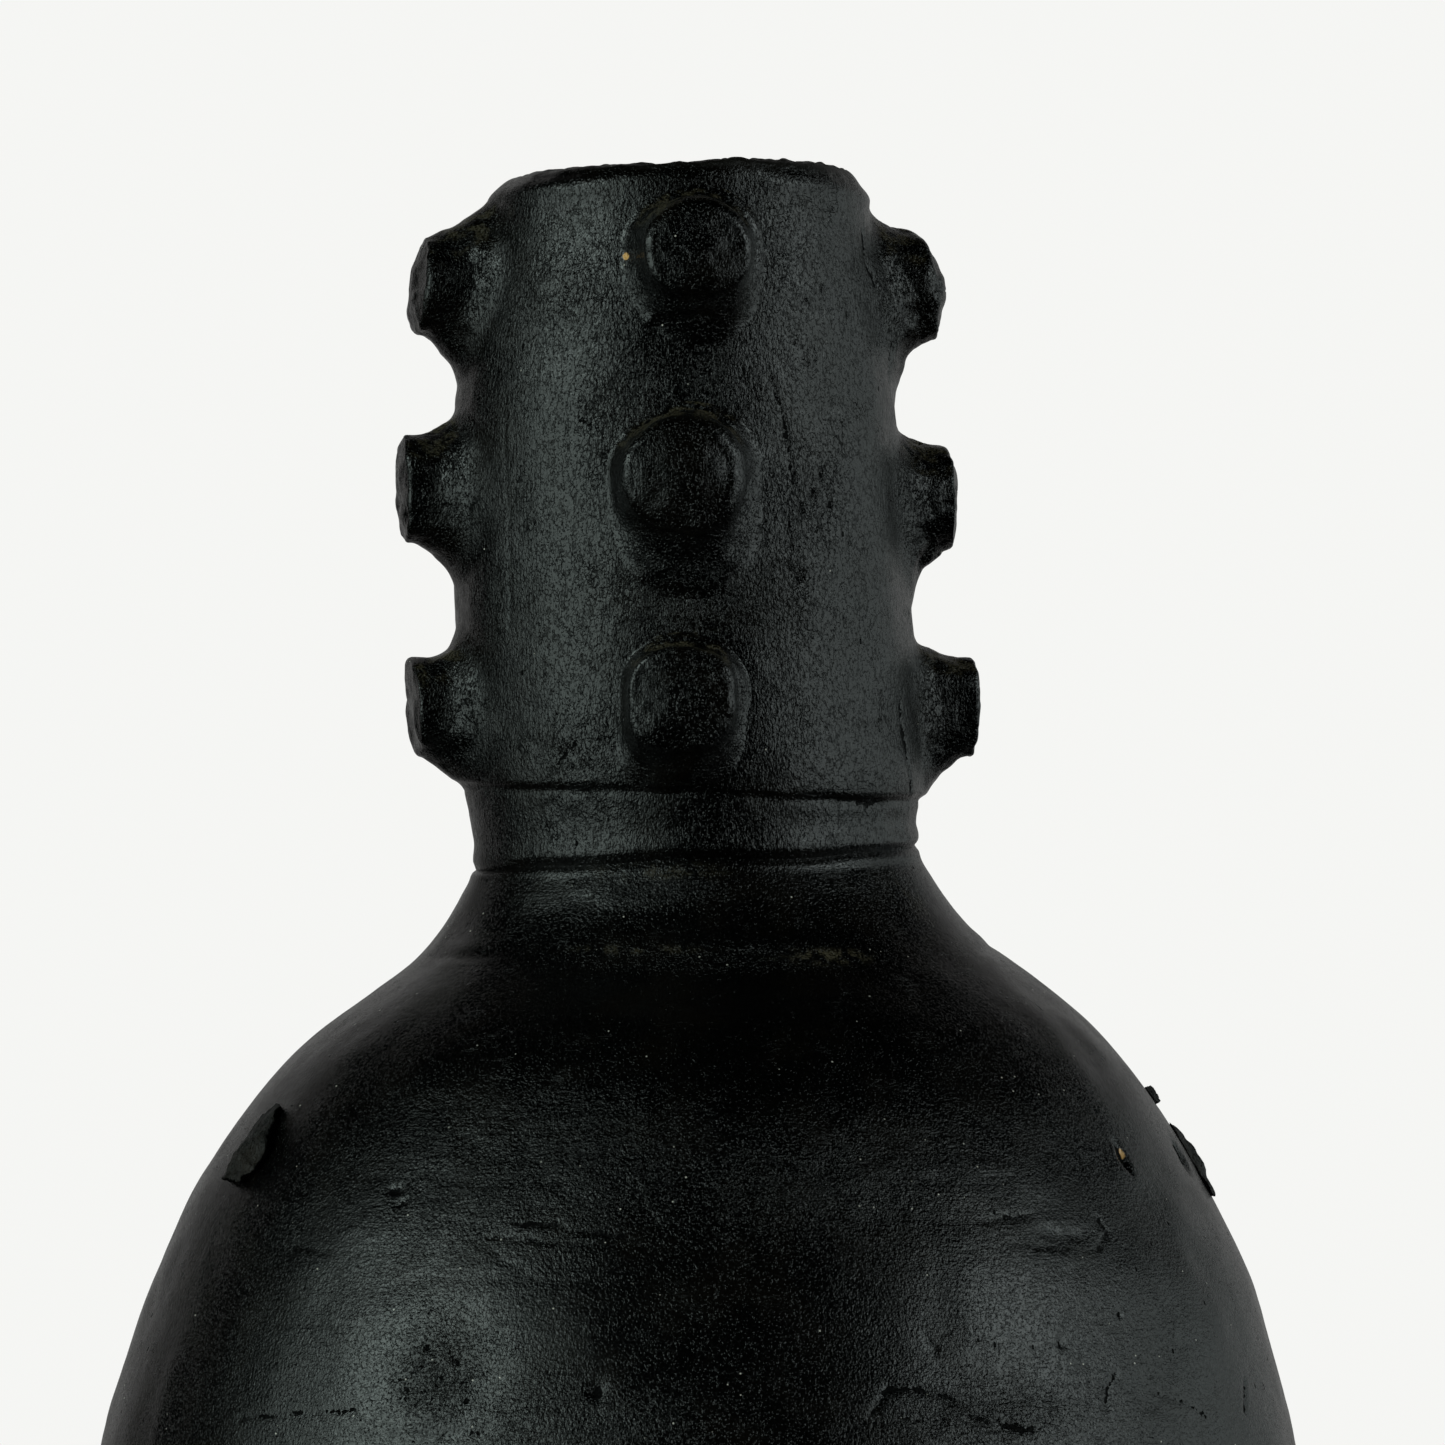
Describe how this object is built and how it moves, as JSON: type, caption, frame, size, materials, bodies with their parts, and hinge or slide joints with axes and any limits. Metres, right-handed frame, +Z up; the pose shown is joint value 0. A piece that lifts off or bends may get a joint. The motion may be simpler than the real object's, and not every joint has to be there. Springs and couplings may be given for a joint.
{
  "type": "clay jar",
  "caption": "Round-bellied burnished black clay jar with a sloping shoulder, a tall leaning neck set with columns of round clay knobs, an open mouth and a flat foot.",
  "frame": {"origin": "middle of the flat foot, on the surface that the jar stands on", "axes": "+Z up along the belly's axis, -Y towards the front column of knobs, +X to the right seen from the front"},
  "size_m": [0.25, 0.25, 0.4],
  "materials": {
    "burnished_clay": "burnished semi-gloss, unglazed",
    "rim_clay": "worn satin, unglazed",
    "matte_clay": "matte, unglazed"
  },
  "bodies": {
    "root": {"base_disc": "matte_clay", "lower_bowl": "burnished_clay", "lower_belly_coil": "burnished_clay", "middle_belly_coil": "burnished_clay", "upper_belly_coil": "burnished_clay", "lower_shoulder_coil": "burnished_clay", "upper_shoulder_coil": "burnished_clay", "shoulder_cone": "burnished_clay", "neck_collar": "burnished_clay", "neck_tube": "burnished_clay", "rim_coil": "rim_clay", "knob_front_top": "burnished_clay", "knob_front_middle": "burnished_clay", "knob_front_bottom": "burnished_clay", "knob_right_top": "burnished_clay", "knob_right_middle": "burnished_clay", "knob_right_bottom": "burnished_clay", "knob_back_top": "burnished_clay", "knob_back_middle": "burnished_clay", "knob_back_bottom": "burnished_clay", "knob_left_top": "burnished_clay", "knob_left_middle": "burnished_clay", "knob_left_bottom": "burnished_clay", "left_scab": "matte_clay", "right_flake": "matte_clay", "right_crumb": "matte_clay"}
  },
  "joints": []
}
